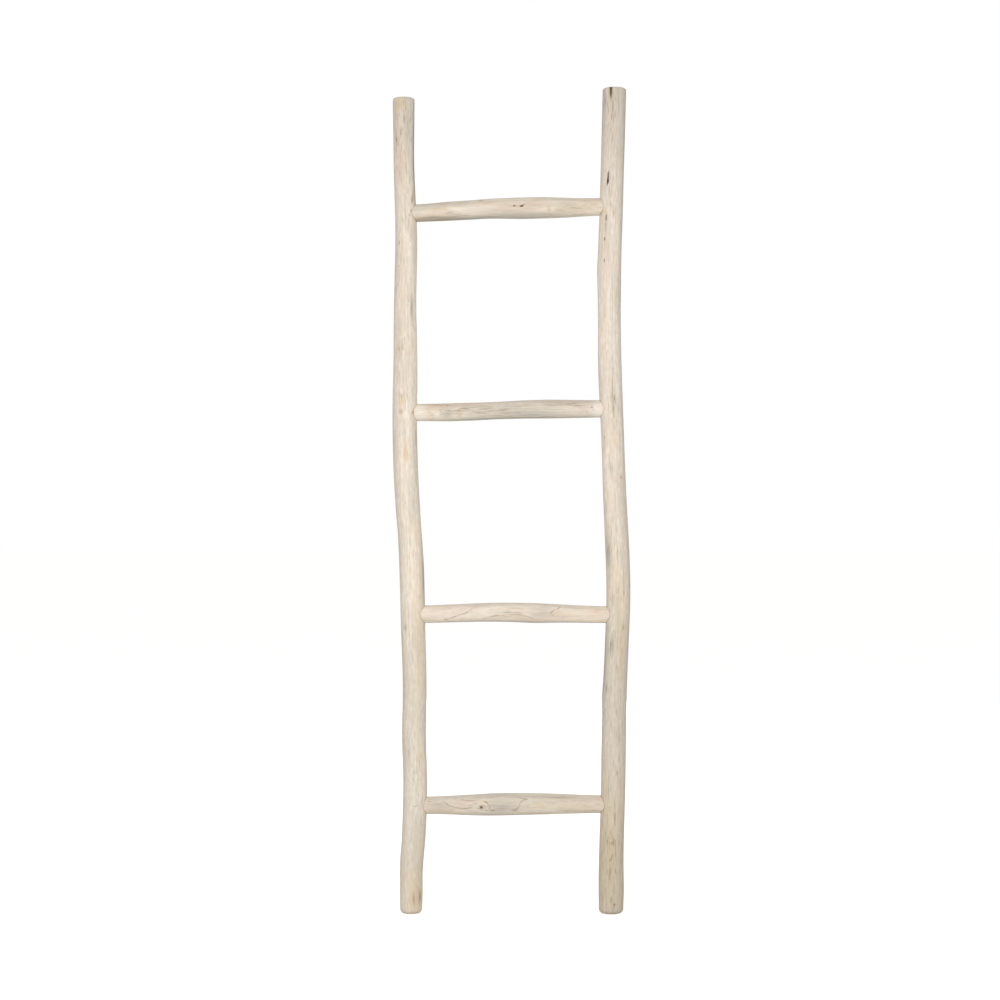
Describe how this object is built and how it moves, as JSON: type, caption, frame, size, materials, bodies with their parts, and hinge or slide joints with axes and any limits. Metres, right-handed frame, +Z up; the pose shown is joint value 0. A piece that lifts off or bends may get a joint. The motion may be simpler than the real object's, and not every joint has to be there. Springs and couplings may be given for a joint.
{
  "type": "decorative ladder",
  "caption": "Upright ladder of crooked debarked wooden poles joined by branch rungs, leant on a wall to hang towels or throws on.",
  "frame": {"origin": "on the floor under the middle of the ladder", "axes": "+Z up along the poles, +X to the right and +Y to the rear, as seen from the front"},
  "size_m": [0.4316, 0.0562, 1.495],
  "materials": {
    "rail_wood": "debarked, bleached and dry, with a fine fibrous surface",
    "rung_wood": "debarked, bleached and sanded, with growth rings cut into wavy lines",
    "nail_steel": "plain drawn wire, dull"
  },
  "bodies": {
    "root": {"left_rail": "rail_wood", "right_rail": "rail_wood", "bottom_rung": "rung_wood", "lower_middle_rung": "rung_wood", "upper_middle_rung": "rung_wood", "top_rung": "rung_wood", "bottom_rung_left_nail": "nail_steel", "bottom_rung_right_nail": "nail_steel", "lower_middle_rung_left_nail": "nail_steel", "lower_middle_rung_right_nail": "nail_steel", "upper_middle_rung_left_nail": "nail_steel", "upper_middle_rung_right_nail": "nail_steel", "top_rung_left_nail": "nail_steel", "top_rung_right_nail": "nail_steel"}
  },
  "joints": []
}
